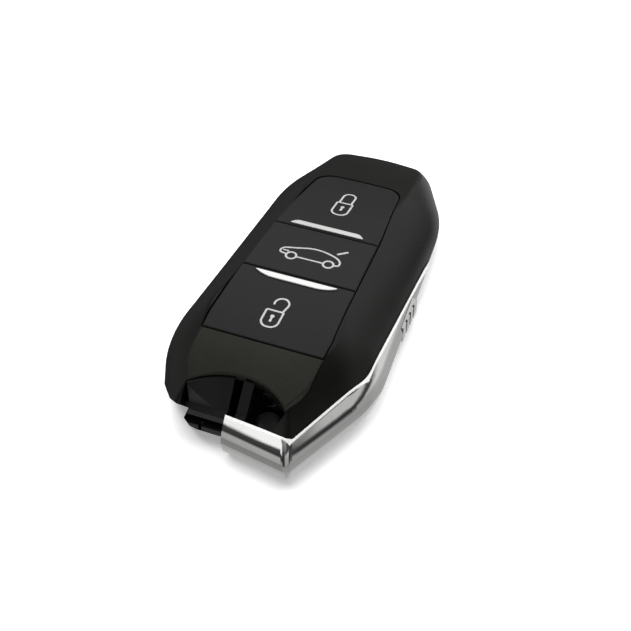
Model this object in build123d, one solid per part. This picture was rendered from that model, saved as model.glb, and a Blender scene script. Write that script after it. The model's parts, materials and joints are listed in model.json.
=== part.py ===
from build123d import *
import os
from math import sqrt

# Car key fob: two plastic shells round a board, a coin cell and a pull-out emergency key
# Origin: middle of the flat underside. +Z up through the buttons, +Y towards the lock button,
# +X towards the bright side trim. Millimetres.

# Widest outline of the shells, right half from the tip to the heel
widest_z = 5.5
tip_y = 41.9
end_x, end_y = 10.2, 40.5
shoulder_x, shoulder_y = 17.1, 27.0
hip_x, hip_y = 20.1, -22.5
foot_x, foot_y = 11.3, -42.2
heel_y = -40.4
tip_round, end_round, shoulder_round = 30.0, 5.0, 24.0
hip_round, foot_round, heel_round = 24.0, 1.3, 12.0
least_round = 0.6

# Where the shoulders of the front shell lean to, and how full they are
lean_z = 16.5
lean_tip_y = 31.0
lean_end_x, lean_end_y = 2.5, 30.8
lean_shoulder_x, lean_shoulder_y = 3.8, 13.5
lean_hip_x, lean_hip_y = 11.2, -19.0
lean_foot_x, lean_foot_y = 6.7, -30.0
lean_heel_y = -29.0
lean_tip_round, lean_end_round, lean_shoulder_round = 4.0, 0.8, 12.0
lean_hip_round, lean_foot_round, lean_heel_round = 12.0, 0.8, 3.0
fullness_share = 1.3
rise_shares = (0.0, 0.2, 0.4, 0.6, 0.8, 0.9, 0.98)

# Crown: the long curve that the top follows
crest_z = 16.0
crest_y = -10.0
crown_radius = 166.0

# Underside
under_inset = 4.6
drop_shares = (0.0, 0.3, 0.6, 0.8, 0.95, 1.0)

# Shells
wall = 1.6
roof = 1.7
floor_wall = 1.2
crease_round = 1.4
reach = 60.0

# Button field cut through the front shell, right half from the top
field_top_y = 26.9
field_corner_x, field_corner_y = 8.7, 26.6
field_neck_x, field_neck_y = 10.3, 8.0
field_waist_x, field_waist_y = 11.5, -21.5
field_bend_x, field_bend_y = 10.9, -32.0
field_foot_x, field_foot_y = 4.0, -46.5
field_heel_y = -48.0
field_rounds = (30.0, 3.8, 50.0, 14.0, 9.0, 1.0, 1.0)
button_gap = 0.2
button_edge_round = 0.25

# Lines between the buttons and the panel
lock_line_y = 5.4
trunk_line_y = -8.4
unlock_line_y = -25.2
arc_peak_y = -32.7
arc_radius = 12.1

# Buttons
button_thickness = 1.6
button_sink = 0.05
skirt_thickness = 0.8
skirt_foot_z = 11.0
skirt_length = 9.4
lip_reach, lip_height = 0.6, 0.55
stem_radius = 1.6
press_travel = 0.5
lock_stem_y = 14.6
trunk_stem_y = -1.5
unlock_stem_y = -16.8

# Fixed panel below the buttons
panel_gap = 0.05
panel_thickness = 1.4
panel_leg_x, panel_leg_y, panel_leg_width = 9.4, -26.4, 2.4
leg_foot_z = 6.85

# Bright bars let into the buttons
bar_proud = 0.22
bar_depth = 0.7
bar_edge, bar_tip_round = 0.12, 0.2
upper_bar_line_y, upper_bar_height = 5.9, 1.3
upper_bar_half, upper_bar_shoulder, upper_bar_round = 7.5, 6.3, 1.6
lower_bar_line_y, lower_bar_height = -9.1, 1.4
lower_bar_half, lower_bar_shoulder, lower_bar_round = 8.4, 5.8, 7.0

# Bright side trim: line that parts it from the black shells, and its faceted section
trim_line_x = 17.95
trim_top_y = 24.0
trim_hip_y = -21.6
trim_foot_x, trim_foot_y = 10.7, -39.35
trim_end_x, trim_end_y = -1.3, -37.9
trim_hip_round, trim_foot_round = 12.0, 1.4
trim_gap = 0.06
trim_backing = 1.15
backing_top_z = 9.4
trim_under_z, trim_under_inset = 0.9, 2.0
trim_low_z, trim_low_inset = 2.6, 0.35
trim_wide_z, trim_wide_inset = 5.2, -0.25
trim_brow_z, trim_brow_inset = 7.6, 0.38
trim_ridge_z, trim_ridge_inset = 8.1, 0.62
trim_edge_z, trim_edge_inset = 10.0, 2.1
trim_skin = 0.3
trim_heel_x = -4.5

# Left end of the fob: its line at the underside, and how far the line moves for each unit of height
end_side_x, end_side_y = -19.3, -26.9
end_turn_x, end_turn_y = -16.1, -30.5
end_rim_x, end_rim_y = -14.6, -31.1
end_step_x, end_step_y = -12.0, -31.3
end_wing_x, end_wing_y = -11.8, -33.7
end_nose_x, end_nose_y = -10.2, -34.9
end_face_x, end_face_y = -8.7, -35.2
end_lean_x_share, end_lean_y_share = 0.48, -0.77

# Emergency key
blade_left_x, blade_width, blade_thickness = -8.2, 6.4, 1.8
blade_under_z = 3.8
blade_tip_y = 2.6
blade_root_y = -35.0
blade_point = 2.6
blade_groove_width, blade_groove_depth = 1.5, 0.5
catch_notch_y, catch_notch_width, catch_notch_depth = -8.0, 2.6, 1.0
bow_left_x, bow_right_x = -9.0, -1.45
bow_nick_x, bow_nick_width, bow_nick_y = -6.5, 0.6, -37.2
bow_arc_gap = 0.12
bow_tuck_z = 12.2
bow_inner_y = -30.0
bow_under_z = 3.7
bow_face_y = -38.2
bow_rim_z, bow_rim_width = 13.5, 0.25
bow_lip_z, bow_lip_y = 9.0, -36.9
bow_scoop_slope = 3.2
bow_nose_z, bow_nose_y = 8.2, -37.8
bow_recess_top_z, bow_recess_low_z, bow_recess_y = 6.9, 5.1, -36.2
bow_gap = 0.15
bed_margin = 0.5

# Keyring rib, eye, the bush in it and the screw above it
rib_left_x, rib_right_x = 0.2, 2.05
rib_root_z = 12.7
rib_top_y, rib_top_z = -33.05, 13.6
rib_foot_y, rib_foot_z = -36.9, 9.4
rib_thickness = 2.2
eye_x, eye_y = 5.1, -34.9
eye_radius = 2.3
bush_wall = 0.4
bush_top_z = 7.1
tail_left_x, tail_right_x = 0.2, 13.5
tail_top_y, tail_foot_y = -29.0, -37.75
tail_floor_z, tail_top_z = 1.25, 6.6
tail_wall_y, tail_wall_right_x = -32.1, 8.4
screw_x, screw_z = 4.3, 10.3
screw_head_radius, screw_head_height = 1.75, 0.9
screw_shank_radius, screw_shank_length = 0.8, 2.4
screw_cross_width, screw_cross_depth = 0.5, 0.5

# Inner frame and board
frame_inset = 3.2
frame_under_z, frame_thickness = 5.9, 0.9
frame_foot_y = -29.7
frame_window_radius = 10.9
board_inset = 4.0
board_gap = 0.15
board_thickness = 1.0
board_foot_y = -26.1
board_end_y = 30.0
switch_side, switch_height = 4.5, 1.7
plunger_radius, plunger_height = 1.1, 0.5
plunger_gap = 0.05
switch_bore_depth = 1.2
chip_side, chip_height = 7.0, 0.9
radio_side, radio_height = 4.0, 0.85
chip_x, chip_y = -7.6, 6.4
radio_x, radio_y = 7.8, 6.6
crystal_x, crystal_y = 8.2, -9.4
crystal_length, crystal_width, crystal_height = 5.0, 3.2, 1.0
coil_side, coil_height, coil_y = 8.6, 1.5, 24.0
coil_slot = 0.5
passive_length, passive_width, passive_height = 1.6, 0.8, 0.6
passive_x, passive_y, passive_step = -8.6, -9.5, 2.2
passive_count = 6

# Sealing mat between the buttons and the switches
mat_thickness = 0.4
mat_margin = 0.5
mat_hole_gap = 0.3
mat_top_y, mat_foot_y = 19.6, -25.4

# Coin cell and its contacts
cell_x, cell_y = 0.0, 13.6
cell_radius, cell_height, cell_under_z = 10.0, 3.2, 1.5
cell_cap_radius, cell_cap_step, cell_edge_round = 8.8, 0.25, 0.4
contact_thickness, contact_width = 0.3, 3.0
leaf_length = 14.0
contact_gap = 0.05

# Release slider, its spring and its slot
pad_y, pad_length, pad_height, pad_z = -1.0, 8.4, 3.4, 5.0
pad_outer_x = 19.25
pad_gap = 0.15
flange_outer_x, flange_thickness = 16.1, 1.0
flange_low_z, flange_top_z = 3.3, 5.75
flange_top_y = 4.2
pad_ribs, pad_rib_width, pad_rib_depth = 3, 0.7, 0.3
slide_travel = 1.2
arm_y, arm_width, arm_under_z, arm_thickness = -8.0, 3.0, 1.5, 0.9
arm_end_x = -11.2
arm_rise_x = 13.6
arm_rise_thickness = 0.9
tooth_thickness = 1.6
tooth_gap = 0.1
tooth_top_z = 5.2
lug_x, lug_thickness = 9.6, 0.8
post_x, post_thickness = 3.2, 0.8
spring_radius, spring_wire, spring_turns = 1.0, 0.25, 7


def inset_corners(corners, depth):
    """Move every edge of a clockwise outline inwards by one depth."""
    moved = []
    for before, here, after in zip(corners[-1:] + corners[:-1], corners, corners[1:] + corners[:1]):
        ahead = (Vector(here) - Vector(before)).normalized()
        beyond = (Vector(after) - Vector(here)).normalized()
        first, second = Vector(ahead.Y, -ahead.X), Vector(beyond.Y, -beyond.X)
        shift = (first + second) * (depth / (1 + first.dot(second)))
        moved.append((here[0] + shift.X, here[1] + shift.Y))
    return moved


def both_sides(half):
    """Right half from the top of the outline to its foot, then the same on the left."""
    return half + [(-x, y) for x, y in reversed(half[1:-1])]


def both_rounds(half):
    return list(half) + list(reversed(half[1:-1]))


wide_half = [
    (0, tip_y),
    (end_x, end_y),
    (shoulder_x, shoulder_y),
    (hip_x, hip_y),
    (foot_x, foot_y),
    (0, heel_y),
]
lean_half = [
    (0, lean_tip_y),
    (lean_end_x, lean_end_y),
    (lean_shoulder_x, lean_shoulder_y),
    (lean_hip_x, lean_hip_y),
    (lean_foot_x, lean_foot_y),
    (0, lean_heel_y),
]
wide_rounds = [tip_round, end_round, shoulder_round, hip_round, foot_round, heel_round]
lean_rounds = [
    lean_tip_round,
    lean_end_round,
    lean_shoulder_round,
    lean_hip_round,
    lean_foot_round,
    lean_heel_round,
]


def rounded(corners, rounds, height):
    points = [(x, y, height) for x, y in corners]
    return make_face(FilletPolyline(*points, radius=rounds, close=True))


def body_ring(height, inset, lean_share, heel_x=0):
    """Outline of the shells, inset and leaned towards the upper outline, its heel bent at one x."""
    half = [
        (low[0] + (high[0] - low[0]) * lean_share, low[1] + (high[1] - low[1]) * lean_share)
        for low, high in zip(wide_half, lean_half)
    ]
    half[-1] = (heel_x, half[-1][1] - heel_x * (heel_y - foot_y) / foot_x)
    rounds = [
        max(low + (high - low) * lean_share - inset, least_round)
        for low, high in zip(wide_rounds, lean_rounds)
    ]
    return rounded(inset_corners(both_sides(half), inset), both_rounds(rounds), height)


def crown_block(lowered):
    """Everything under the crown, lowered by a depth."""
    middle = crest_z - crown_radius
    disc = Circle(crown_radius - lowered)
    column = extrude(Plane.YZ * Pos(crest_y, middle) * disc, reach, both=True)
    return column & Pos(0, 0, crest_z) * Box(reach * 2, reach * 2, reach)


def upper_form(inset, lowered, heel_x=0):
    """Outside of the front shell, or its inside when inset."""
    rings = []
    for rise_share in rise_shares:
        lean_share = 1 - (1 - rise_share**fullness_share) ** (1 / fullness_share)
        height = widest_z + (lean_z - widest_z) * rise_share
        rings.append(body_ring(height, inset, lean_share, heel_x))
    return loft(rings) & crown_block(lowered)


def lower_form(inset, lifted):
    """Outside of the back shell, or its inside when inset."""
    rings = []
    for drop_share in reversed(drop_shares):
        height = widest_z - (widest_z - lifted) * drop_share
        rings.append(body_ring(height, inset + under_inset * (1 - sqrt(1 - drop_share**2)), 0))
    return loft(rings)


def prism(corners, rounds, low, high):
    """Upright block on an outline."""
    return extrude(rounded(corners, rounds, low), high - low)


def block(x, y, z):
    """Box from pairs of limits."""
    middle = Pos((x[0] + x[1]) / 2, (y[0] + y[1]) / 2, (z[0] + z[1]) / 2)
    return middle * Box(x[1] - x[0], y[1] - y[0], z[1] - z[0])


def post(x, y, radius, low, high):
    return Pos(x, y, (low + high) / 2) * Cylinder(radius, high - low)


def side_plate(outline, x):
    """Plate between two values of x on an outline of (y, z) points."""
    face = make_face(Polyline(*[(x[0], y, z) for y, z in outline], close=True))
    return extrude(face, x[1] - x[0], dir=(1, 0, 0))


field_half = [
    (0, field_top_y),
    (field_corner_x, field_corner_y),
    (field_neck_x, field_neck_y),
    (field_waist_x, field_waist_y),
    (field_bend_x, field_bend_y),
    (field_foot_x, field_foot_y),
    (0, field_heel_y),
]


def field_prism(grown, low):
    """Button field, grown outwards by a gap."""
    corners = inset_corners(both_sides(field_half), -grown)
    return prism(corners, both_rounds(field_rounds), low, lean_z + wall)


def trim_zone(grown, low, high):
    """All that lies outside the line that parts the trim from the shells."""
    corners = [
        (trim_line_x - grown, trim_top_y),
        (trim_line_x - grown, trim_hip_y),
        (trim_foot_x - grown, trim_foot_y + grown),
        (trim_end_x - grown, trim_end_y + grown),
        (trim_end_x - grown, -reach),
        (reach, -reach),
        (reach, trim_top_y),
    ]
    rounds = [0, trim_hip_round, trim_foot_round, 0, 0, 0, 0]
    return prism(corners, rounds, low, high)


def arc_prism(grown):
    """Everything below the arc that ends the lower panel."""
    return post(0, arc_peak_y - arc_radius, arc_radius + grown, 0, reach) + block(
        (-reach, reach), (-reach, arc_peak_y - arc_radius / 2), (0, reach)
    )


def left_end(inwards):
    """All that lies beyond the leaning end of the fob, left of the trim, moved inwards by a depth."""
    corners = [
        (end_side_x, end_side_y),
        (end_turn_x, end_turn_y),
        (end_rim_x, end_rim_y),
        (end_step_x, end_step_y),
        (end_wing_x, end_wing_y),
        (end_nose_x, end_nose_y),
        (end_face_x, end_face_y),
        (reach, end_face_y),
        (reach, -reach),
        (-reach, -reach),
        (-reach, end_side_y),
    ]
    lean = Vector(end_lean_x_share, end_lean_y_share, 1).normalized()
    beam = extrude(make_face(Polyline(*corners, close=True)), reach, dir=lean, both=True)
    return Pos(0, inwards, 0) * beam & block((-reach, trim_end_x), (-reach, reach), (-wall, reach))


outer_top = upper_form(0, 0)
outer_top = fillet(outer_top.faces().sort_by(Axis.Z)[-1].edges(), crease_round)
inner_top = upper_form(wall, roof)
outer_low = lower_form(0, 0)
inner_low = lower_form(wall, floor_wall)
above_tail = block((0, reach), (tail_top_y, trim_top_y), (0, reach))
bow_span = (bow_left_x - bow_gap, bow_right_x + bow_gap)
bow_path = block(bow_span, (-reach, bow_inner_y + bow_gap), (bow_under_z - bow_gap, reach))
bush_radius = eye_radius + bush_wall


def make_front_cover():
    cover = outer_top - inner_top
    cover += outer_top & trim_zone(trim_backing, widest_z, backing_top_z) & above_tail
    cover += outer_top & left_end(wall)
    cover -= field_prism(0, widest_z)
    cover -= trim_zone(trim_gap, 0, reach)
    cover -= pad_slot()
    cover -= left_end(0)
    cover -= bow_path
    return cover.solids().sort_by(SortBy.VOLUME)[-1]


def make_back_cover():
    shell = outer_low - inner_low
    shell += outer_low & left_end(wall)
    bow_floor = block((bow_span[0] - wall, bow_span[1]), (-reach, bow_inner_y), (0, bow_under_z - bow_gap))
    shell += outer_low & bow_floor
    shell += outer_low & block((tail_left_x, tail_right_x), (-reach, tail_top_y), (0, tail_floor_z))
    shell += outer_low & trim_zone(trim_backing, floor_wall / 2, widest_z) & above_tail
    bed = (blade_left_x + bed_margin, blade_left_x + blade_width - bed_margin)
    bed_top = blade_under_z - contact_gap
    arm_low, arm_high = arm_y - arm_width / 2 - pad_gap, arm_y + arm_width / 2 + pad_gap
    shell += block(bed, (bow_inner_y + bow_gap, arm_low), (floor_wall / 2, bed_top))
    shell += block(bed, (arm_high + wall, blade_tip_y), (floor_wall / 2, bed_top))
    post_span = (post_x, post_x + post_thickness)
    shell += block(post_span, (arm_low, arm_high), (arm_under_z + arm_thickness + pad_gap, tooth_top_z))
    shell += block(post_span, (arm_high, arm_high + wall), (floor_wall / 2, tooth_top_z))
    shell -= left_end(0)
    shell -= bow_path
    shell -= trim_zone(trim_gap, trim_under_z - trim_gap, reach)
    shell -= post(eye_x, eye_y, bush_radius, -wall, reach)
    shell -= pad_slot()
    return shell


def pad_slot():
    """Opening in the side for the release pad."""
    low, high = pad_y - pad_length / 2 - pad_gap, pad_y + pad_length / 2 + pad_gap
    span = (flange_outer_x - flange_thickness, reach)
    return block(span, (low, high), (pad_z - pad_height / 2 - pad_gap, pad_z + pad_height / 2 + pad_gap))


def make_side_trim():
    levels = [
        (trim_under_z, trim_under_inset),
        (trim_low_z, trim_low_inset),
        (trim_wide_z, trim_wide_inset),
        (trim_brow_z, trim_brow_inset),
        (trim_ridge_z, trim_ridge_inset),
        (trim_edge_z, trim_edge_inset),
    ]
    facets = loft([body_ring(z, inset, 0, trim_heel_x) for z, inset in levels], ruled=True)
    trim = facets & trim_zone(0, 0, reach)
    above = trim & upper_form(-trim_skin, -trim_skin, trim_heel_x)
    below = trim & block((-reach, reach), (-reach, reach), (0, widest_z))
    return above + below - pad_slot()


def make_button(upper_y, lower_y, stem_y):
    """One button: a curved plate, a skirt down each side and the stem that meets its switch."""
    band = block((-reach, reach), (lower_y, upper_y), (0, reach))
    cap = crown_block(button_sink) & field_prism(-button_gap, widest_z) & band
    edges = cap.faces().sort_by(Axis.Z)[-1].edges()
    cap = fillet(edges, button_edge_round)
    plate = cap - crown_block(button_sink + button_thickness)
    skirt_y = (stem_y - skirt_length / 2, stem_y + skirt_length / 2)
    hollow = field_prism(-button_gap - skirt_thickness, 0)
    skirt = (cap - hollow) & block((-reach, reach), skirt_y, (skirt_foot_z, reach))
    lip = field_prism(lip_reach, 0) - hollow
    lip &= block((-reach, reach), skirt_y, (skirt_foot_z, skirt_foot_z + lip_height))
    stem = post(0, stem_y, stem_radius, stem_low_z, crown_height(stem_y) - button_thickness)
    return plate + skirt + lip + stem


def crown_height(y):
    return crest_z - crown_radius + sqrt(crown_radius**2 - (y - crest_y) ** 2)


board_under = frame_under_z + frame_thickness + board_gap
board_top = board_under + board_thickness
switch_top = board_top + switch_height
stem_low_z = switch_top + plunger_height


def bar_prism(half, shoulder, height, shoulder_round, line_y):
    """Sliver with one straight edge; the other lies above it, or below it for a negative height."""
    corners = [(-half, line_y), (-shoulder, line_y + height), (shoulder, line_y + height), (half, line_y)]
    return prism(corners, [bar_tip_round, shoulder_round, shoulder_round, bar_tip_round], 0, reach)


def make_bar(outline):
    bar = outline & (crown_block(-bar_proud) - crown_block(bar_depth))
    return fillet(bar.faces().sort_by(Axis.Z)[-1].edges(), bar_edge)


def make_lower_panel():
    """Fixed glossy panel between the lowest button and the arc, on two legs."""
    panel = crown_block(button_sink) & field_prism(-panel_gap, widest_z)
    panel &= block((-reach, reach), (-reach, unlock_line_y - button_gap / 2), (0, reach))
    panel -= arc_prism(0)
    panel = fillet(panel.faces().sort_by(Axis.Z)[-1].edges(), button_edge_round)
    plate = panel - crown_block(button_sink + panel_thickness)
    legs = panel & block((-reach, reach), (panel_leg_y - panel_leg_width, panel_leg_y), (leg_foot_z, reach))
    legs -= block((-panel_leg_x, panel_leg_x), (-reach, reach), (0, reach))
    return plate + legs


def make_blade():
    """Flat blade with a groove down each face, a pointed tip and a notch for the catch."""
    right_x = blade_left_x + blade_width
    outline = [
        (blade_left_x, blade_root_y),
        (blade_left_x, blade_tip_y - blade_point),
        (blade_left_x + blade_point, blade_tip_y),
        (right_x - blade_point / 2, blade_tip_y),
        (right_x, blade_tip_y - blade_point / 2),
        (right_x, blade_root_y),
    ]
    face = make_face(Polyline(*[(x, y, blade_under_z) for x, y in outline], close=True))
    blade = extrude(face, blade_thickness)
    middle_x = blade_left_x + blade_width / 2
    span = (middle_x - blade_groove_width / 2, middle_x + blade_groove_width / 2)
    groove = block(span, (bow_inner_y + wall, reach), (0, blade_groove_depth))
    blade -= Pos(0, 0, blade_under_z) * groove
    blade -= Pos(0, 0, blade_under_z + blade_thickness - blade_groove_depth) * groove
    notch_y = (catch_notch_y - catch_notch_width / 2, catch_notch_y + catch_notch_width / 2)
    blade -= block((blade_left_x - wall, blade_left_x + catch_notch_depth), notch_y, (0, reach))
    return blade


def make_bow(blade):
    """Head of the emergency key, scooped from its rim under the arc down to its lip."""
    body = [
        (bow_inner_y, bow_under_z),
        (bow_inner_y, bow_rim_z),
        (bow_lip_y, bow_rim_z),
        (bow_lip_y, bow_lip_z),
        (bow_nose_y, bow_nose_z),
        (bow_nose_y, bow_recess_top_z),
        (bow_recess_y, bow_recess_top_z),
        (bow_recess_y, bow_recess_low_z),
        (bow_face_y, bow_recess_low_z),
        (bow_face_y, bow_under_z),
    ]
    whole = side_plate(body, (bow_left_x, bow_right_x))
    outside = arc_prism(-bow_arc_gap)
    tucked = block((bow_left_x, bow_right_x), (-reach, bow_inner_y), (0, bow_tuck_z))
    bow = (whole & outside & field_prism(-bow_gap, 0)) + (whole & tucked & field_prism(-bow_gap, 0))
    bow += whole & block((bow_left_x, bow_right_x), (-reach, bow_lip_y), (0, bow_lip_z))
    high_radius = arc_radius - bow_arc_gap - bow_rim_width
    scoop_depth = bow_rim_z - bow_lip_z
    scoop = Cone(high_radius - bow_scoop_slope, high_radius, scoop_depth)
    bow -= Pos(0, arc_peak_y - arc_radius, bow_lip_z + scoop_depth / 2) * scoop
    nick = block((bow_nick_x, bow_nick_x + bow_nick_width), (-reach, bow_nick_y), (0, bow_recess_low_z))
    return bow - blade - trim_zone(bow_gap, 0, reach) - left_end(0) - nick


def make_inner_frame():
    """Tray that carries the board, with the keyring rib and the walls of the eye at its tail."""
    frame = extrude(body_ring(frame_under_z, frame_inset, 0), frame_thickness)
    frame -= block((-reach, reach), (-reach, frame_foot_y), (0, reach))
    frame -= post(cell_x, cell_y, frame_window_radius, 0, reach)
    tail = block((tail_left_x, tail_right_x), (tail_foot_y, tail_top_y), (tail_floor_z, tail_top_z))
    tail &= inner_low + inner_top
    tail -= trim_zone(trim_gap, 0, reach)
    far_wall = block((rib_left_x, tail_wall_right_x), (tail_wall_y, tail_top_y), (frame_under_z, rib_root_z))
    rib = [
        (tail_wall_y, rib_root_z),
        (rib_top_y, rib_root_z),
        (rib_top_y, rib_top_z),
        (rib_foot_y, rib_foot_z),
        (tail_foot_y, rib_foot_z),
        (tail_foot_y, tail_floor_z),
        (tail_foot_y + rib_thickness / 2, tail_floor_z),
        (tail_foot_y + rib_thickness / 2, rib_foot_z - rib_thickness),
        (tail_wall_y, rib_top_z - rib_thickness * 2),
    ]
    passage_y = (tail_foot_y + rib_thickness / 2, tail_wall_y)
    frame += tail - block((rib_left_x, eye_x), passage_y, (tail_floor_z, tail_top_z))
    frame += far_wall + (side_plate(rib, (rib_left_x, rib_right_x)) - trim_zone(trim_gap, 0, reach))
    frame += post(eye_x, eye_y, bush_radius + wall / 2, tail_floor_z, tail_top_z) & tail
    frame -= post(eye_x, eye_y, bush_radius, 0, tail_top_z + wall)
    screw_hole = Cylinder(screw_shank_radius, screw_shank_length * 2)
    frame -= Pos(screw_x, tail_wall_y, screw_z) * Rot(90, 0, 0) * screw_hole
    frame -= outer_low - inner_low
    frame -= trim_zone(trim_backing + board_gap, 0, reach) & above_tail
    pad_y_span = (pad_y - pad_length / 2 - pad_gap, pad_y + pad_length / 2 + pad_gap)
    pad_x_span = (flange_outer_x - flange_thickness - slide_travel - pad_gap, reach)
    return frame - block(pad_x_span, pad_y_span, (0, reach))


def make_bush():
    bush = post(eye_x, eye_y, bush_radius, tail_floor_z, bush_top_z)
    return bush - post(eye_x, eye_y, eye_radius, 0, reach)


def make_tail_screw():
    """Cross-head screw above the eye, its head towards the tail."""
    head = Cylinder(screw_head_radius, screw_head_height)
    head = fillet(head.edges().sort_by(Axis.Z)[-1:], screw_head_height / 2)
    cross = Box(screw_cross_width, screw_head_radius * 1.3, screw_cross_depth)
    cross += Box(screw_head_radius * 1.3, screw_cross_width, screw_cross_depth)
    head -= Pos(0, 0, (screw_head_height - screw_cross_depth) / 2) * Rot(0, 0, 30) * cross
    shank = Cylinder(screw_shank_radius, screw_shank_length)
    shank = Pos(0, 0, -(screw_head_height + screw_shank_length) / 2) * shank
    return Pos(screw_x, tail_wall_y - screw_head_height / 2, screw_z) * Rot(90, 0, 0) * (head + shank)


def make_board():
    board = extrude(body_ring(board_under, board_inset, 0), board_thickness)
    return board & block((-reach, reach), (board_foot_y, board_end_y), (0, reach))


def on_board(x, y, length, width, height):
    """Block that stands on the board."""
    return Pos(x, y, board_top + height / 2) * Box(length, width, height)


def make_switch(y):
    switch = on_board(0, y, switch_side, switch_side, switch_height)
    return switch - post(0, y, plunger_radius + plunger_gap, switch_top - switch_bore_depth, reach)


def make_plunger(y):
    """Plunger that reaches into the bore of its switch, with its travel left free below it."""
    low = switch_top - switch_bore_depth + press_travel + plunger_gap
    return post(0, y, plunger_radius, low, stem_low_z)


def make_coil():
    """Square block with a slot wound round its middle on each side."""
    coil = on_board(0, coil_y, coil_side, coil_side, coil_height)
    core = coil_side - coil_slot * 2
    ring = Box(coil_side, coil_side, coil_height / 2) - Box(core, core, coil_height)
    return coil - Pos(0, coil_y, board_top + coil_height / 2) * ring


def make_passives():
    return [
        on_board(passive_x, passive_y - passive_step * place, passive_length, passive_width, passive_height)
        for place in range(passive_count)
    ]


def make_mat():
    """Rubber sheet on the switches, with a hole for each stem."""
    layer = block((-reach, reach), (mat_foot_y, mat_top_y), (switch_top, switch_top + mat_thickness))
    mat = field_prism(mat_margin, 0) & layer
    for y in (lock_stem_y, trunk_stem_y, unlock_stem_y):
        mat -= post(0, y, stem_radius + mat_hole_gap, 0, reach)
    return mat


def make_cell():
    """Coin cell: can below, stepped cap above."""
    can_top = cell_under_z + cell_height - cell_cap_step
    can = post(cell_x, cell_y, cell_radius, cell_under_z, can_top)
    can = fillet(can.edges().filter_by(GeomType.CIRCLE), cell_edge_round)
    return can + post(cell_x, cell_y, cell_cap_radius, can_top - cell_edge_round, cell_under_z + cell_height)


def make_leaf_contact():
    """Spring leaf on the cap of the cell, with a leg up to the board."""
    low = cell_under_z + cell_height + contact_gap
    side = (cell_x - contact_width / 2, cell_x + contact_width / 2)
    span = (cell_y - leaf_length / 2, cell_y + leaf_length / 2)
    leaf = block(side, span, (low, low + contact_thickness))
    return leaf + block(side, (span[1] - contact_thickness, span[1]), (low, board_under))


def make_clip_contact():
    """Curved strip round the can, with a leg up to the board."""
    inner = cell_radius + contact_gap
    high = cell_under_z + cell_height - cell_cap_step
    ring = post(cell_x, cell_y, inner + contact_thickness, cell_under_z, high)
    ring -= post(cell_x, cell_y, inner, 0, reach)
    sweep = ring & block((cell_x, reach), (cell_y - contact_width, cell_y + contact_width), (0, reach))
    leg_side = (cell_x + inner, cell_x + inner + contact_thickness)
    leg_span = (cell_y - contact_width / 2, cell_y + contact_width / 2)
    return sweep + block(leg_side, leg_span, (cell_under_z + cell_edge_round, board_under))


def make_slider():
    """Ribbed pad, the flange that keeps it in, and the arm under the blade with its catch tooth."""
    arm_y_span = (arm_y - arm_width / 2, arm_y + arm_width / 2)
    flange_x = (flange_outer_x - flange_thickness, flange_outer_x)
    pad_y_span = (pad_y - pad_length / 2, pad_y + pad_length / 2)
    pad = block((flange_x[0], pad_outer_x), pad_y_span, (pad_z - pad_height / 2, pad_z + pad_height / 2))
    for place in range(pad_ribs):
        y = pad_y + (place - (pad_ribs - 1) / 2) * pad_length / (pad_ribs + 1)
        span = (y - pad_rib_width / 2, y + pad_rib_width / 2)
        pad -= block((pad_outer_x - pad_rib_depth, reach), span, (0, reach))
    flange = block(flange_x, (arm_y_span[0], flange_top_y), (flange_low_z, flange_top_z))
    shelf_top = flange_low_z + arm_thickness
    shelf = block((arm_rise_x - arm_rise_thickness, flange_x[1]), arm_y_span, (flange_low_z, shelf_top))
    rise = block((arm_rise_x - arm_rise_thickness, arm_rise_x), arm_y_span, (arm_under_z, shelf_top))
    arm = block((arm_end_x, arm_rise_x), arm_y_span, (arm_under_z, arm_under_z + arm_thickness))
    tooth_x = blade_left_x - tooth_gap
    tooth = block((tooth_x - tooth_thickness, tooth_x), arm_y_span, (arm_under_z, tooth_top_z))
    lug = block((lug_x, lug_x + lug_thickness), arm_y_span, (arm_under_z, tooth_top_z))
    return pad + flange + shelf + rise + arm + tooth + lug


def make_spring():
    """Wound spring between the fixed post and the lug."""
    length = lug_x - post_x - post_thickness - spring_wire * 2
    path = Helix(pitch=length / spring_turns, height=length, radius=spring_radius)
    profile = Plane(path @ 0, z_dir=path % 0) * Circle(spring_wire / 2)
    coil = sweep(profile, path, is_frenet=True)
    high = arm_under_z + arm_thickness + pad_gap + spring_radius + spring_wire
    return Pos(post_x + post_thickness + spring_wire, arm_y, high) * Rot(0, 90, 0) * coil


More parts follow.
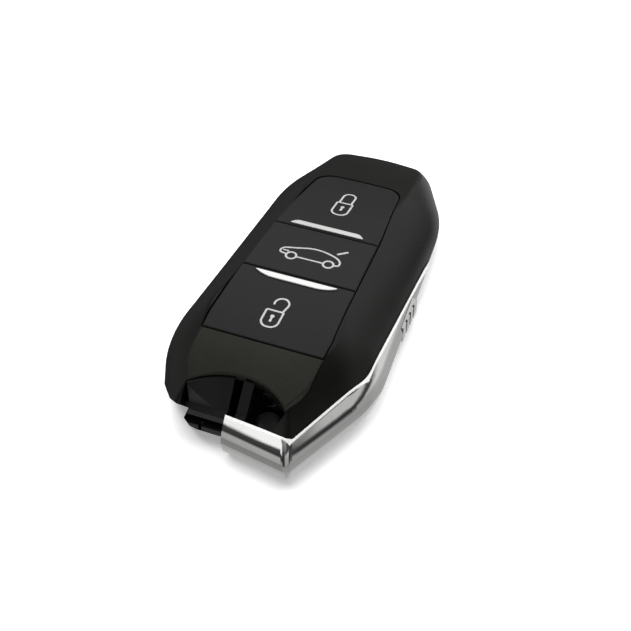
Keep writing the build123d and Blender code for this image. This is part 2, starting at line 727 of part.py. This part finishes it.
upper_bar_outline = bar_prism(
    upper_bar_half, upper_bar_shoulder, upper_bar_height, upper_bar_round, upper_bar_line_y
)
lower_bar_outline = bar_prism(
    lower_bar_half, lower_bar_shoulder, -lower_bar_height, lower_bar_round, lower_bar_line_y
)
bar_seat = crown_block(-wall) - crown_block(bar_depth)
blade = make_blade()
parts = {
    "front_cover": make_front_cover(),
    "back_cover": make_back_cover(),
    "side_trim": make_side_trim(),
    "lower_panel": make_lower_panel(),
    "lock_button": make_button(reach, lock_line_y + button_gap / 2, lock_stem_y)
    - (upper_bar_outline & bar_seat),
    "trunk_button": make_button(lock_line_y - button_gap / 2, trunk_line_y + button_gap / 2, trunk_stem_y),
    "unlock_button": make_button(trunk_line_y - button_gap / 2, unlock_line_y + button_gap / 2, unlock_stem_y)
    - (lower_bar_outline & bar_seat),
    "upper_bar": make_bar(upper_bar_outline),
    "lower_bar": make_bar(lower_bar_outline),
    "lock_switch": make_switch(lock_stem_y),
    "trunk_switch": make_switch(trunk_stem_y),
    "unlock_switch": make_switch(unlock_stem_y),
    "lock_plunger": make_plunger(lock_stem_y),
    "trunk_plunger": make_plunger(trunk_stem_y),
    "unlock_plunger": make_plunger(unlock_stem_y),
    "sealing_mat": make_mat(),
    "circuit_board": make_board(),
    "controller_chip": on_board(chip_x, chip_y, chip_side, chip_side, chip_height),
    "radio_chip": on_board(radio_x, radio_y, radio_side, radio_side, radio_height),
    "crystal": on_board(crystal_x, crystal_y, crystal_width, crystal_length, crystal_height),
    "antenna_coil": make_coil(),
    "board_passives": Compound(make_passives()),
    "inner_frame": make_inner_frame(),
    "eye_bush": make_bush(),
    "tail_screw": make_tail_screw(),
    "coin_cell": make_cell(),
    "leaf_contact": make_leaf_contact(),
    "clip_contact": make_clip_contact(),
    "key_blade": blade,
    "key_bow": make_bow(blade),
    "release_slider": make_slider(),
    "release_spring": make_spring(),
}

os.makedirs("parts", exist_ok=True)
for name, shape in parts.items():
    export_step(shape, f"parts/{name}.step")
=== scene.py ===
import bpy
import bmesh
import json
import math
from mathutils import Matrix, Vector


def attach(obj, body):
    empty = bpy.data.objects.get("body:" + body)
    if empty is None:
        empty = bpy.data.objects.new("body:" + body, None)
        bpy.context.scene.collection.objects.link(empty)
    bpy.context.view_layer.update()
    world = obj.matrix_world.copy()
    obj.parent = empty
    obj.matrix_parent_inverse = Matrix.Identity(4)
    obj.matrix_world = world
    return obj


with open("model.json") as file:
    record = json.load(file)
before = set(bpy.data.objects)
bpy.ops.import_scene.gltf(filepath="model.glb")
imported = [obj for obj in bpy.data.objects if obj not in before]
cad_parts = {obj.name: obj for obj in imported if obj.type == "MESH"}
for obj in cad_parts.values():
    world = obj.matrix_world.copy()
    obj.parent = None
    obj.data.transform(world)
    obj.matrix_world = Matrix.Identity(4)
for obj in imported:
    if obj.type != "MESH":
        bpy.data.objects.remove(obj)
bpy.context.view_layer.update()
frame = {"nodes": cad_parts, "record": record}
nodes = frame["nodes"]
mm = 0.001
print("frame loaded:", len(nodes), "nodes")


class Sock:
    # wraps one output socket, so maths on it can be written as an expression
    def __init__(self, shader, out):
        self.shader, self.out = shader, out

    def maths(self, operation, first, second):
        return self.shader.add("ShaderNodeMath", {"operation": operation}, {0: first, 1: second})

    def __add__(self, other):
        return self.maths("ADD", self, other)

    def __radd__(self, other):
        return self.maths("ADD", other, self)

    def __sub__(self, other):
        return self.maths("SUBTRACT", self, other)

    def __rsub__(self, other):
        return self.maths("SUBTRACT", other, self)

    def __mul__(self, other):
        return self.maths("MULTIPLY", self, other)

    def __rmul__(self, other):
        return self.maths("MULTIPLY", other, self)

    def __truediv__(self, other):
        return self.maths("DIVIDE", self, other)

    def __rtruediv__(self, other):
        return self.maths("DIVIDE", other, self)


class Shader:
    # one procedural material on a Principled BSDF
    def __init__(self, name, **fixed):
        self.material = bpy.data.materials.new(name)
        self.material.use_nodes = True
        self.tree = self.material.node_tree
        self.bsdf = self.tree.nodes["Principled BSDF"]
        for socket, value in fixed.items():
            self.put(self.bsdf, socket.replace("_", " "), value)

    def put(self, node, socket, value):
        # links a socket, or sets its value; a single number fills a colour or a vector
        target = node.inputs[socket]
        if isinstance(value, Sock):
            self.tree.links.new(value.out, target)
            return
        if hasattr(target.default_value, "__len__"):
            count = len(target.default_value)
            value = list(value) if hasattr(value, "__len__") else [value] * count
            value += [1] * (count - len(value))  # alpha of a colour
        target.default_value = value

    def add(self, kind, settings=None, sockets=None, out=0):
        node = self.tree.nodes.new(kind)
        for key, value in (settings or {}).items():
            setattr(node, key, value)
        for socket, value in (sockets or {}).items():
            self.put(node, socket, value)
        return Sock(self, node.outputs[out])

    def place(self, scale=(1, 1, 1), turn=(0, 0, 0)):
        where = self.add("ShaderNodeTexCoord", out="Object")
        return self.add("ShaderNodeMapping", None, {"Vector": where, "Scale": scale, "Rotation": turn})

    def noise(self, size, detail=2, rough=0.5, where=None):
        # size is the grain in metres
        sockets = {"Scale": 1 / size, "Detail": detail, "Roughness": rough, "Vector": where or self.place()}
        return self.add("ShaderNodeTexNoise", None, sockets)

    def between(self, value, low, high, toLow=0, toHigh=1, kind="LINEAR"):
        sockets = {"Value": value, "From Min": low, "From Max": high, "To Min": toLow, "To Max": toHigh}
        return self.add("ShaderNodeMapRange", {"interpolation_type": kind}, sockets)

    def band(self, value, low, high, soft):
        # 1 from low to high, fading softly to 0 outside
        rise = self.between(value, low - soft, low + soft, kind="SMOOTHSTEP")
        return rise * self.between(value, high - soft, high + soft, 1, 0, "SMOOTHSTEP")

    def split(self, vector):
        first = self.add("ShaderNodeSeparateXYZ", None, {0: vector})
        return [Sock(self, out) for out in first.out.node.outputs]

    def blend(self, factor, first, second):
        return self.add("ShaderNodeMix", {"data_type": "RGBA"}, {0: factor, 6: first, 7: second}, out=2)

    def bump(self, height, depth, strength):
        # depth is the full relief in metres
        return self.add("ShaderNodeBump", None, {"Strength": strength, "Distance": depth, "Height": height})

    def feed(self, **links):
        for socket, value in links.items():
            self.put(self.bsdf, socket.replace("_", " "), value)
        return self.material


# angles in degrees, target and distance in mm, fitted to the photograph
camera = {
    "azimuth": 21.036, "elevation": 44.19, "target": (3.941, -9.972, 9.0), "distance": 203.5,
    "lens": 64.15, "sensor": 36, "nearest": 5,
}


def addCamera():
    azimuth, elevation = math.radians(camera["azimuth"]), math.radians(camera["elevation"])
    back = Vector((
        math.sin(azimuth) * math.cos(elevation),
        -math.cos(azimuth) * math.cos(elevation),
        math.sin(elevation),
    ))
    data = bpy.data.cameras.new("camera")
    data.lens = camera["lens"]
    data.sensor_width = camera["sensor"]
    data.clip_start = camera["nearest"] * mm
    data.dof.use_dof = False
    made = bpy.data.objects.new("camera", data)
    made.location = (Vector(camera["target"]) + back * camera["distance"]) * mm
    made.rotation_euler = (-back).to_track_quat("-Z", "Y").to_euler()
    bpy.context.collection.objects.link(made)
    bpy.context.scene.camera = made


addCamera()
print("camera placed")

# places in metres, powers in watts
studio = {
    "floor": {"size": 4, "shade": 0.9, "roughness": 0.9, "gloss": 0.1, "glow": 0.3},
    "key": {"place": (-0.15, 0.1, 0.7), "size": (0.8, 0.8), "power": 9.0},
    "fill": {"place": (0.3, 0.5, 0.45), "size": (0.5, 0.3), "power": 1.5},
    "ambient": 0.05,
}
# what the glossy surfaces mirror: level, turn from +X (low, high, soft) and rise (low, high, soft) in degrees
cards = [
    (0.68, (28, 85, 18), (6, 62, 10)),  # right side card
    (1.0, (88, 132, 9), (27.5, 56.5, 5)),  # card over the lock end
    (0.09, (80, 140, 15), (-12, 26, 8)),  # wall behind the lock end
    (0.35, (-200, 200, 5), (60, 100, 5)),  # ceiling
    (0.09, (135, 200, 15), (-25, 50, 10)),  # dim left wall
    (0.90, (-134, -104, 5), (15, 27, 1.5)),  # front strip, mirrored by the bevel of the hook
    (0.20, (-150, -60, 15), (28, 60, 6)),  # front wall
    (0.62, (-200, -100, 6), (-14, 5.5, 2)),  # far table, middle table and near table, left of the corner
    (0.38, (-200, -100, 6), (-55, -14, 6)),
    (0.55, (-200, -100, 6), (-100, -55, 6)),
    (0.48, (-100, -12, 8), (-100, 3, 4)),  # table in front of the corner
    (0.44, (2.6, 26, 1.5), (-1, 10, 2)),  # right front, above and below its dark line
    (0.52, (-12, 30, 6), (-100, -6.5, 1.5)),
    (0.55, (-75, -36, 6), (4, 22, 3)),  # mirrored by the corner below the eye
    (0.60, (30, 100, 6), (-100, -7, 3)),  # table right of the fob
]


class Sky(Shader):
    # the same helpers on the world's Background
    def __init__(self, name):
        self.world = bpy.data.worlds.new(name)
        self.world.use_nodes = True
        self.tree = self.world.node_tree
        self.bsdf = self.tree.nodes["Background"]


def addFloor():
    look = studio["floor"]
    bpy.ops.mesh.primitive_plane_add(size=look["size"], location=(0, 0, 0))
    floor = bpy.context.object
    floor.name = "studio_floor"
    floor.visible_glossy = False  # the cards light the glossy surfaces instead
    paper = Shader("paper", Specular_IOR_Level=look["gloss"], Emission_Strength=look["glow"])
    paper.feed(Base_Color=look["shade"], Roughness=look["roughness"], Emission_Color=(1, 1, 1))
    floor.data.materials.append(paper.material)


def addWorld():
    sky = Sky("studio")
    x, y, z = sky.split(sky.add("ShaderNodeTexCoord", out="Generated"))
    degree = math.radians(1)
    rise = sky.add("ShaderNodeMath", {"operation": "ARCSINE"}, {0: z}) / degree
    turn = y.maths("ARCTAN2", y, x) / degree
    level = studio["ambient"]
    for strength, turns, rises in cards:
        level = sky.band(turn, *turns) * sky.band(rise, *rises) * strength + level
    sky.put(sky.bsdf, "Color", level)
    bpy.context.scene.world = sky.world


def addLight(name):
    # a soft box aimed at the fob, unseen by the glossy surfaces
    lamp = studio[name]
    data = bpy.data.lights.new(name, "AREA")
    data.shape = "RECTANGLE"
    data.size, data.size_y = lamp["size"]
    data.energy = lamp["power"]
    made = bpy.data.objects.new(name, data)
    made.location = lamp["place"]
    made.rotation_euler = (-Vector(lamp["place"])).to_track_quat("-Z", "Y").to_euler()
    made.visible_glossy = False
    bpy.context.collection.objects.link(made)


addFloor()
addWorld()
addLight("key")
addLight("fill")
bpy.context.scene.view_settings.view_transform = "Standard"
print("studio ready")


# grain and depth in metres, steps in levels of the noise, spread as the least and most change of roughness
plastic = {
    "gloss": 0.33, "lift": 1.35, "relief": 0.6, "fineRoughness": 0.06, "spread": (-0.03, 0.04),
    "cloud": {"size": 0.011, "detail": 3, "rough": 0.55, "colourSteps": (0.35, 0.7), "glossSteps": (0.3, 0.7)},
    "kinds": {
        "shell_black": {"colour": (0.003, 0.003, 0.0026), "roughness": 0.3, "grain": 0.00012, "depth": 6e-6},
        "button_black": {"colour": (0.0065, 0.0065, 0.0065), "roughness": 0.42, "grain": 0.0001, "depth": 8e-6},
        "panel_gloss": {"colour": (0.006, 0.006, 0.0038), "roughness": 0.26, "grain": 0.00012, "depth": 4e-6},
        "bow_black": {"colour": (0.004, 0.004, 0.004), "roughness": 0.38, "grain": 0.00012, "depth": 8e-6},
        "frame_black": {"colour": (0.0025, 0.0025, 0.0025), "roughness": 0.48, "grain": 0.00014, "depth": 1e-5},
        "switch_body": {"colour": (0.03, 0.03, 0.03), "roughness": 0.5, "grain": 0.0001, "depth": 6e-6},
        "chip_black": {"colour": (0.02, 0.02, 0.022), "roughness": 0.55, "grain": 0.00006, "depth": 6e-6},
        "passive_tan": {"colour": (0.4, 0.31, 0.2), "roughness": 0.5, "grain": 0.0001, "depth": 4e-6},
    },
}


def mouldedPlastic(name):
    # fine moulded grain, faint cloudy gloss and a slight wear lift of the colour
    kind, haze = plastic["kinds"][name], plastic["cloud"]
    made = Shader(name, Specular_IOR_Level=plastic["gloss"])
    cloud = made.noise(haze["size"], haze["detail"], haze["rough"])
    fine = made.noise(kind["grain"])
    lifted = tuple(c * plastic["lift"] for c in kind["colour"])
    base = made.blend(made.between(cloud, *haze["colourSteps"]), kind["colour"], lifted)
    least, most = (kind["roughness"] + change for change in plastic["spread"])
    rough = made.between(cloud, *haze["glossSteps"], least, most) + (fine - 0.5) * plastic["fineRoughness"]
    return made.feed(Base_Color=base, Roughness=rough, Normal=made.bump(fine, kind["depth"], plastic["relief"]))


plating = {
    "haze": {
        "size": 0.006, "detail": 4, "rough": 0.6, "dim": 0.94,
        "colourSteps": (0.4, 0.75), "glossSteps": (0.3, 0.8), "spread": 0.015,
    },
    "marks": {
        "size": 0.0006, "detail": 5, "rough": 0.7, "stretch": (1, 0.06, 1), "turn": (0, 0, 0.4),
        "glossSteps": (0.45, 0.75), "spread": 0.02,
    },
    "wave": {"size": 0.004, "detail": 1, "rough": 0.4, "depth": 2e-5, "relief": 0.25},
    "bar": {"colour": (0.94, 0.94, 0.93), "roughness": 0.14},
    "trim": {"colour": (1.0, 1.0, 0.985), "roughness": 0.035},
}


def brightPlate(name, kind):
    # plated plastic: nearly clean mirror with a faint swirl of handling marks
    made = Shader(name, Metallic=1.0)
    mist, mark, swell = plating["haze"], plating["marks"], plating["wave"]
    haze = made.noise(mist["size"], mist["detail"], mist["rough"])
    marks = made.noise(mark["size"], mark["detail"], mark["rough"], made.place(mark["stretch"], mark["turn"]))
    wave = made.noise(swell["size"], swell["detail"], swell["rough"])
    dimmed = tuple(c * mist["dim"] for c in kind["colour"])
    base = made.blend(made.between(haze, *mist["colourSteps"]), kind["colour"], dimmed)
    clean, marked = kind["roughness"], kind["roughness"] + mark["spread"]
    rough = made.between(marks, *mark["glossSteps"], clean, marked)
    rough = rough + made.between(haze, *mist["glossSteps"], 0, mist["spread"])
    return made, base, rough, made.bump(wave, swell["depth"], swell["relief"])


def barPlate():
    made, base, rough, normal = brightPlate("bright_bar", plating["bar"])
    return made.feed(Base_Color=base, Roughness=rough, Normal=normal)


# heights, edge and line in mm: painted shade and painted reflection bands make the plate darkest at its waist
# and lighter towards its bevel and its foot, and a painted highlight strip as wide as the edge, made less
# metallic so the lamps light its pale colour, runs along the line that parts it from the shell
trim = {
    "heights": {"foot": 2.6, "belt": 4.6, "waist": 6.2, "brow": 7.5, "bevel": 8.1},
    "painted_shades": {"foot": 0.72, "belt": 0.54, "waist": 0.46, "brow": 0.56, "bevel": 0.92},
    "edge": 0.22, "fade": 1.6, "highlight_nonmetal": 0.85,
    "line": ((17.95, -21.6), (10.7, -39.35), (-1.3, -37.95)),
}


def trimPlate():
    made, base, rough, normal = brightPlate("bright_trim", plating["trim"])
    x, y, z = made.split(made.add("ShaderNodeTexCoord", out="Object"))
    # painted shade and painted reflection: the base colour is scaled by bands set by height, darkest at the
    # waist
    shade = trim["painted_shades"]["foot"]
    marks = list(trim["heights"])
    for low, high in zip(marks, marks[1:]):
        step = trim["painted_shades"][high] - trim["painted_shades"][low]
        shade = made.between(z, trim["heights"][low] * mm, trim["heights"][high] * mm, 0, step) + shade
    hip, corner, end = (Vector(p) * mm for p in trim["line"])
    away = x - hip.x  # distance outwards from the parting line
    for a, b in ((hip, corner), (corner, end)):
        along = (b - a).normalized()
        away = away.maths("MAXIMUM", away, x * -along.y + y * along.x + (a.x * along.y - a.y * along.x))
    edge = trim["edge"] * mm
    # painted highlight: 1 on a strip along the parting line, fading out; it lifts the base colour to the bevel
    # level and takes metal away
    painted_highlight = made.between(away, edge, edge * trim["fade"], 1, 0)
    shade = shade.maths("MAXIMUM", shade, painted_highlight * trim["painted_shades"]["bevel"])
    base = made.add("ShaderNodeVectorMath", {"operation": "SCALE"}, {0: base, "Scale": shade})
    return made.feed(Base_Color=base, Roughness=rough, Metallic=1 - painted_highlight * trim["highlight_nonmetal"], Normal=normal)


steel = {
    "dim": 0.82, "depth": 8e-6, "relief": 0.5, "spread": (-0.06, 0.08),
    "lines": {"size": 0.00018, "detail": 3, "rough": 0.6, "steps": (0.3, 0.7)},
    "stain": {"size": 0.005, "detail": 3, "rough": 0.5, "steps": (0.4, 0.7)},
    "kinds": {
        "steel": {"colour": (0.58, 0.58, 0.57), "roughness": 0.28, "along": (1, 0.03, 1)},
        "dark_steel": {"colour": (0.02, 0.02, 0.02), "roughness": 0.4, "along": (1, 0.05, 1)},
        "cell_steel": {"colour": (0.66, 0.66, 0.65), "roughness": 0.3, "along": (1, 0.05, 1)},
        "spring_steel": {"colour": (0.5, 0.5, 0.5), "roughness": 0.3, "along": (0.05, 1, 1)},
        "contact_brass": {"colour": (0.72, 0.58, 0.3), "roughness": 0.3, "along": (1, 0.1, 1)},
    },
}


def drawnSteel(name):
    # metal with fine drawn lines along one way
    kind, grain, spots = steel["kinds"][name], steel["lines"], steel["stain"]
    made = Shader(name, Metallic=1.0)
    lines = made.noise(grain["size"], grain["detail"], grain["rough"], made.place(kind["along"]))
    stain = made.noise(spots["size"], spots["detail"], spots["rough"])
    stained = tuple(c * steel["dim"] for c in kind["colour"])
    base = made.blend(made.between(stain, *spots["steps"]), kind["colour"], stained)
    rough = made.between(lines, *grain["steps"], *(kind["roughness"] + change for change in steel["spread"]))
    return made.feed(Base_Color=base, Roughness=rough, Normal=made.bump(lines, steel["depth"], steel["relief"]))


rubber = {
    "gloss": 0.3, "colour": (0.2, 0.2, 0.2), "dusty": (0.27, 0.27, 0.265), "roughness": (0.65, 0.8),
    "dust": {"size": 0.0035, "detail": 4, "rough": 0.6, "steps": (0.4, 0.75), "glossSteps": (0.3, 0.7)},
    "grain": 0.00009, "depth": 1e-5, "relief": 0.5,
}


def rubberSheet():
    made = Shader("mat_rubber", Specular_IOR_Level=rubber["gloss"])
    powder = rubber["dust"]
    dust = made.noise(powder["size"], powder["detail"], powder["rough"])
    base = made.blend(made.between(dust, *powder["steps"]), rubber["colour"], rubber["dusty"])
    rough = made.between(dust, *powder["glossSteps"], *rubber["roughness"])
    normal = made.bump(made.noise(rubber["grain"]), rubber["depth"], rubber["relief"])
    return made.feed(Base_Color=base, Roughness=rough, Normal=normal)


board = {
    "gap": (0.012, 0.07, 0.028), "track": (0.02, 0.115, 0.045),
    "gloss": 0.5, "coat": 0.4, "coatRoughness": 0.15,
    "pattern": {"offset": 0.37, "squash": 0.6, "squash_frequency": 3},
    "scale": 420, "gapWidth": 0.09, "gapSoftness": 0.2, "length": 0.9, "pitch": 0.32, "second": (0.8, 0.8, 0.8),
    "weave": 0.0004, "weaveSteps": (0.3, 0.7), "roughness": (0.3, 0.42), "depth": 3e-5, "relief": 0.4,
}


def boardLacquer():
    # green lacquer over raised tracks
    made = Shader(
        "board_green", Specular_IOR_Level=board["gloss"],
        Coat_Weight=board["coat"], Coat_Roughness=board["coatRoughness"],
    )
    tracks = made.add("ShaderNodeTexBrick", board["pattern"], {
        "Vector": made.place(), "Color1": (1, 1, 1), "Color2": board["second"], "Mortar": (0, 0, 0),
        "Scale": board["scale"], "Mortar Size": board["gapWidth"], "Mortar Smooth": board["gapSoftness"],
        "Brick Width": board["length"], "Row Height": board["pitch"],
    })
    base = made.blend(tracks, board["gap"], board["track"])
    rough = made.between(made.noise(board["weave"]), *board["weaveSteps"], *board["roughness"])
    normal = made.bump(tracks, board["depth"], board["relief"])
    return made.feed(Base_Color=base, Roughness=rough, Normal=normal)


copper = {
    "metal": 0.9, "groove": (0.22, 0.07, 0.025), "wire": (0.55, 0.22, 0.08), "roughness": (0.4, 0.25),
    "scale": 2600, "wobble": 0.4, "detail": 1, "depth": 4e-5, "relief": 0.7,
}


def woundCopper():
    # fine turns of enamelled wire
    made = Shader("coil_copper", Metallic=copper["metal"])
    turns = made.add("ShaderNodeTexWave", {"wave_type": "BANDS", "bands_direction": "Z"}, {
        "Vector": made.place(), "Scale": copper["scale"],
        "Distortion": copper["wobble"], "Detail": copper["detail"],
    })
    base = made.blend(turns, copper["groove"], copper["wire"])
    rough = made.between(turns, 0, 1, *copper["roughness"])
    normal = made.bump(turns, copper["depth"], copper["relief"])
    return made.feed(Base_Color=base, Roughness=rough, Normal=normal)


finishes = {name: mouldedPlastic(name) for name in plastic["kinds"]}
finishes.update({name: drawnSteel(name) for name in steel["kinds"]})
finishes.update({
    "bright_trim": trimPlate(), "bright_bar": barPlate(), "mat_rubber": rubberSheet(),
    "board_green": boardLacquer(), "coil_copper": woundCopper(),
})

for row in frame["record"]["subparts"]:
    node = nodes[row["node"]]
    node.data.materials.clear()
    node.data.materials.append(finishes[row["material_slot"]])
print("materials laid on the nodes")


# the buttons' crown that the symbols lie on, and their ink, in mm
crown = {"crest": 16.0, "crestY": -10.0, "radius": 166.0, "sink": 0.05}
ink = {
    "line": 0.37, "proud": 0.012, "sunk": 0.02, "gloss": 0.4, "grain": 0.0006, "detail": 3, "rough": 0.6,
    "colour": (0.34, 0.34, 0.335), "bright": (0.44, 0.44, 0.43), "roughness": (0.45, 0.6),
    "colourSteps": (0.35, 0.7), "glossSteps": (0.3, 0.7),
    "endSteps": (0.5, 0.35, 0.2), "endWidths": (0.25, 0.71, 0.92),  # shares of the width that round off an end
    "discHole": 0.02,  # pinhole in the middle of a disc, as a share of its radius
}


def printedInk():
    made = Shader("printed_ink", Specular_IOR_Level=ink["gloss"])
    cloud = made.noise(ink["grain"], ink["detail"], ink["rough"])
    base = made.blend(made.between(cloud, *ink["colourSteps"]), ink["colour"], ink["bright"])
    return made.feed(Base_Color=base, Roughness=made.between(cloud, *ink["glossSteps"], *ink["roughness"]))


def crownHeight(y):
    middle = crown["crest"] - crown["radius"]
    return middle + math.sqrt(crown["radius"] ** 2 - (y - crown["crestY"]) ** 2) - crown["sink"]


def smoothPath(points, rounds=3):
    # corner cutting, so that a few points give a round stroke
    for _ in range(rounds):
        cut = [points[0]]
        for a, b in zip(points, points[1:]):
            for share in (0.25, 0.75):
                cut.append(tuple(p * (1 - share) + q * share for p, q in zip(a, b)))
        points = cut + [points[-1]]
    return points


def arcPoints(middle, radius, start, end, steps=24):
    # angles in degrees
    turns = [math.radians(start + (end - start) * i / steps) for i in range(steps + 1)]
    return [(middle[0] + radius * math.cos(t), middle[1] + radius * math.sin(t)) for t in turns]


def ringPoints(middle, radius, count=24):
    return arcPoints(middle, radius, 0, 360 - 360 / count, count - 1)


def roundedBox(left, right, low, high, lowRound, highRound):
    points = []
    for x, y, radius, start in (
        (right - highRound, high - highRound, highRound, 0),
        (left + highRound, high - highRound, highRound, 90),
        (left + lowRound, low + lowRound, lowRound, 180),
        (right - lowRound, low + lowRound, lowRound, 270),
    ):
        points += arcPoints((x, y), radius, start, start + 90, 8)
    return points


def strokeSides(points, width, closed):
    # the two edges of a line of constant width, as lists of points
    left, right = [], []
    count = len(points)
    for i, here in enumerate(points):
        before = points[(i - 1) % count] if closed or i else here
        after = points[(i + 1) % count] if closed or i < count - 1 else here
        along = Vector((after[0] - before[0], after[1] - before[1])).normalized()
        off = Vector((-along.y, along.x)) * width / 2
        left.append((here[0] + off.x, here[1] + off.y))
        right.append((here[0] - off.x, here[1] - off.y))
    return left, right


def inkShape(mesh, left, right, closed):
    # a closed band of ink between two edges that follows the crown
    rings = []
    for a, b in zip(left, right):
        ring = []
        for (x, y), up in ((a, ink["proud"]), (b, ink["proud"]), (b, -ink["sunk"]), (a, -ink["sunk"])):
            ring.append(mesh.verts.new((x * mm, y * mm, (crownHeight(y) + up) * mm)))
        rings.append(ring)
    pairs = list(zip(rings, rings[1:] + rings[:1])) if closed else list(zip(rings, rings[1:]))
    for one, two in pairs:
        for i in range(4):
            j = (i + 1) % 4
            mesh.faces.new((one[i], one[j], two[j], two[i]))
    if not closed:
        mesh.faces.new(list(reversed(rings[0])))
        mesh.faces.new(rings[-1])


def inkLine(mesh, points, closed=False, width=None):
    width = width or ink["line"]
    if not closed:  # longer by its round ends
        first, last = Vector(points[0]), Vector(points[-1])
        head, tail = (first - Vector(points[1])).normalized(), (last - Vector(points[-2])).normalized()
        starts = [tuple(first + head * width * s) for s in ink["endSteps"]]
        ends = [tuple(last + tail * width * s) for s in reversed(ink["endSteps"])]
        points = starts + list(points) + ends
    left, right = strokeSides(points, width, closed)
    if not closed:
        for i, share in enumerate(ink["endWidths"]):
            for side, other in ((left, right), (right, left)):
                for k in (i, len(points) - 1 - i):
                    centre = points[k]
                    side[k] = tuple(centre[n] + (side[k][n] - centre[n]) * share for n in (0, 1))
    inkShape(mesh, left, right, closed)


def inkDisc(mesh, middle, radius):
    inkShape(mesh, ringPoints(middle, radius * ink["discHole"]), ringPoints(middle, radius), True)


def addSymbol(name, body, draw):
    mesh = bmesh.new()
    draw(mesh)
    bmesh.ops.recalc_face_normals(mesh, faces=mesh.faces)
    data = bpy.data.meshes.new(name)
    mesh.to_mesh(data)
    mesh.free()
    made = bpy.data.objects.new(name, data)
    bpy.context.collection.objects.link(made)
    made.data.materials.append(inkFinish)
    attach(made, body)


# padlock shapes, in mm on the buttons
padlock = {
    "width": 3.15, "lowRound": 1.4, "highRound": 0.25, "hole": 0.65, "holeRadius": 0.38,
    "slit": {"top": 0.17, "foot": 0.24, "drop": 1.3},
    "closed": {"x": -0.1, "low": 12.2, "high": 16.72, "hoop": 1.2, "hoopY": 19.3},
    "open": {
        "x": -0.45, "low": -21.75, "high": -17.88, "hoop": 1.3, "hoopX": 0.0, "hoopY": -16.0, "foot": 0.87,
        "swing": (-12, 196),  # degrees round the hoop
    },
}


def padlockBody(mesh, x, low, high):
    half = padlock["width"] / 2
    box = roundedBox(x - half, x + half, low, high, padlock["lowRound"], padlock["highRound"])
    inkLine(mesh, box, True)
    hole = low + (high - low) * padlock["hole"]
    inkDisc(mesh, (x, hole), padlock["holeRadius"])
    slit = padlock["slit"]
    top, foot, end = slit["top"], slit["foot"], hole - slit["drop"]
    inkShape(mesh, [(x - top, hole), (x - foot, end)], [(x + top, hole), (x + foot, end)], False)


def drawClosedLock(mesh):
    shape = padlock["closed"]
    x, high, half = shape["x"], shape["high"], shape["hoop"]
    padlockBody(mesh, x, shape["low"], high)
    inkLine(mesh, [(x - half, high)] + arcPoints((x, shape["hoopY"]), half, 180, 0) + [(x + half, high)])


def drawOpenLock(mesh):
    shape = padlock["open"]
    padlockBody(mesh, shape["x"], shape["low"], shape["high"])
    hoop = arcPoints((shape["hoopX"], shape["hoopY"]), shape["hoop"], *shape["swing"])
    inkLine(mesh, [(shape["foot"], shape["high"])] + hoop)


# side view of a car, in mm on the button
carLine = {
    "roof": [
        (-4.5, -3.25), (-5.2, -3.2), (-5.75, -2.95), (-5.8, -2.2), (-5.2, -1.5), (-3.5, -1.12), (-2.06, -0.63),
        (-0.63, -0.2), (0.8, -0.12), (2.2, -0.3), (3.6, -0.68), (4.8, -1.2), (5.65, -1.95), (5.8, -2.9),
        (5.5, -3.3), (5.0, -3.3),
    ],
    "sill": [(-2.15, -3.45), (2.65, -3.42)],
    "lid": [(4.5, 0.05), (5.9, 1.2)],
    "lamp": [(-5.25, -2.3), (-4.3, -2.35)],
    "wheels": [(-3.35, -3.42), (3.85, -3.38)],
    "wheelRadius": 0.95,
    "widths": {"roof": 0.36, "sill": 0.34, "lid": 0.45, "lamp": 0.3, "wheels": 0.38},
}


def drawOpenCar(mesh):
    widths = carLine["widths"]
    inkLine(mesh, smoothPath(carLine["roof"]), width=widths["roof"])
    for line in ("sill", "lid", "lamp"):
        inkLine(mesh, carLine[line], width=widths[line])
    for middle in carLine["wheels"]:
        inkLine(mesh, ringPoints(middle, carLine["wheelRadius"]), True, widths["wheels"])


inkFinish = printedInk()
addSymbol("closed_padlock", "lock", drawClosedLock)
addSymbol("open_boot_car", "trunk", drawOpenCar)
addSymbol("open_padlock", "unlock", drawOpenLock)
print("symbols printed")
